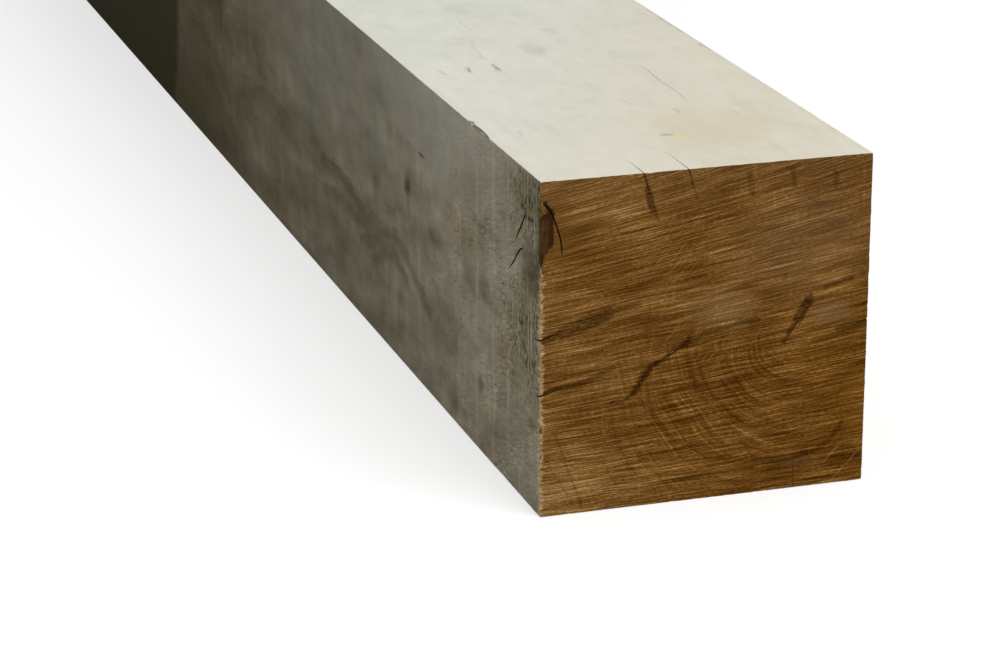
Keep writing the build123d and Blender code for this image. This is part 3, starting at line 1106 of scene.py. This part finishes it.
# %% Give each face its finish
finishes = {
    "cut_end": end_grain,
    "far_end": far_end_grain,
    "left": left_grey,
    "right": plain_grey,
    "underside": under_grey,
    "top": pale_top,
    **walls,
}
slots = list(dict.fromkeys(finishes.values()))
for face in beam.faces:
    face.material_index = slots.index(finishes[kinds[face]])
    face.smooth = True
for edge in beam.edges:
    edge.smooth = len({face[flat] for face in edge.link_faces}) == 1

mesh = bpy.data.meshes.new("oak_beam_sawn")
for material in slots:
    mesh.materials.append(material)
beam.faces.layers.int.remove(flat)
beam.to_mesh(mesh)
beam.free()
sawn_beam = bpy.data.objects.new("oak_beam_sawn", mesh)
bpy.context.scene.collection.objects.link(sawn_beam)
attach(sawn_beam, "root")
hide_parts("oak_beam")
mesh.calc_loop_triangles()
print(f"oak_beam_sawn: {len(mesh.loop_triangles)} triangles")

# %% [markdown]
# ## Floor, light and camera
# The beam lies on a white floor in a white room, as a picture for a price list would show it. The
# floor glows a little for the camera alone, so that it melts into the white behind and only the soft
# shadow of the beam stays on it. The room itself gives most of the light. One large softbox above and
# in front brings out the saw marks of the cut end, and a weak one keeps the left side readable. The
# camera stands where straight lines fitted to the edges of the beam put it: just under 2 m from the cut
# end, with a long lens.

# %% Lay the floor
FLOOR_REACH = 20.0
FLOOR_GREY = (0.6, 0.6, 0.6, 1)
FLOOR_GLOW = (0.55, 0.55, 0.55, 1)

floor_grid = bmesh.new()
bmesh.ops.create_grid(floor_grid, x_segments=1, y_segments=1, size=FLOOR_REACH)
floor_mesh = bpy.data.meshes.new("floor")
floor_grid.to_mesh(floor_mesh)
floor_grid.free()
floor = bpy.data.objects.new("floor", floor_mesh)
bpy.context.scene.collection.objects.link(floor)

floor_paint = bpy.data.materials.new("white_floor")
floor_paint.use_nodes = True
floor_paint.node_tree.nodes.clear()
nodes = NodeTree(floor_paint.node_tree)
rays = nodes.add("ShaderNodeLightPath").outputs
matt = nodes.add("ShaderNodeBsdfDiffuse", FLOOR_GREY).outputs[0]
glow = nodes.add("ShaderNodeEmission", FLOOR_GLOW, rays["Is Camera Ray"]).outputs[0]
nodes.add("ShaderNodeOutputMaterial", nodes.add("ShaderNodeAddShader", matt, glow).outputs[0])
floor_mesh.materials.append(floor_paint)
print(f"floor: {len(floor_mesh.polygons)} face, {2 * FLOOR_REACH:.0f} m wide")

# %% Light the room
ROOM_LIGHT = 0.7
ROOM_SEEN = 1.0
LIT_SPOT = Vector((0.0, -0.9, 0.1))

world = bpy.data.worlds.new("studio")
bpy.context.scene.world = world
world.use_nodes = True
world.node_tree.nodes.clear()
nodes = NodeTree(world.node_tree)
rays = nodes.add("ShaderNodeLightPath").outputs
seen = nodes.math("MAXIMUM", rays["Is Camera Ray"], rays["Is Glossy Ray"])
seen = nodes.math("MAXIMUM", seen, rays["Is Transmission Ray"])
sky = nodes.add("ShaderNodeBackground")
strength = nodes.add("ShaderNodeMapRange", seen, 0.0, 1.0, ROOM_LIGHT, ROOM_SEEN).outputs[0]
nodes.feed(sky.inputs["Strength"], strength)
nodes.add("ShaderNodeOutputWorld", sky.outputs[0])


def softbox(name, place, size, power):
    """A square lamp, as wide as given, turned to the near part of the beam."""
    lamp = bpy.data.lights.new(name, "AREA")
    lamp.size = size
    lamp.energy = power
    stand = bpy.data.objects.new(name, lamp)
    stand.location = place
    stand.rotation_euler = (LIT_SPOT - Vector(place)).to_track_quat("-Z", "Y").to_euler()
    bpy.context.scene.collection.objects.link(stand)
    print(f"softbox {name}: {size} m wide, {power:.0f} W")


softbox("key", (1.0, -3.2, 2.9), 2.4, 62.0)
softbox("fill", (-3.0, -2.2, 1.6), 2.0, 16.0)

# %% Set the camera
LENS = 119.08
SENSOR_WIDTH = 36.0
CAMERA_FROM_END = Vector((-0.65329, -1.66735, 0.71053))
CAMERA_AZIMUTH = math.radians(17.6215)
CAMERA_DROP = math.radians(18.8276)
camera = bpy.data.cameras.new("camera")
camera.lens = LENS
camera.sensor_width = SENSOR_WIDTH
stand = bpy.data.objects.new("camera", camera)
stand.location = Vector((0, beam_low.y, 0)) + CAMERA_FROM_END
view = Vector((
    math.sin(CAMERA_AZIMUTH) * math.cos(CAMERA_DROP),
    math.cos(CAMERA_AZIMUTH) * math.cos(CAMERA_DROP),
    -math.sin(CAMERA_DROP),
))
stand.rotation_euler = view.to_track_quat("-Z", "Y").to_euler()
bpy.context.scene.collection.objects.link(stand)
bpy.context.scene.camera = stand
bpy.context.scene.view_settings.view_transform = "Standard"
print(f"camera {CAMERA_FROM_END.length:.2f} m from the foot of the cut end, {LENS:.0f} mm lens")
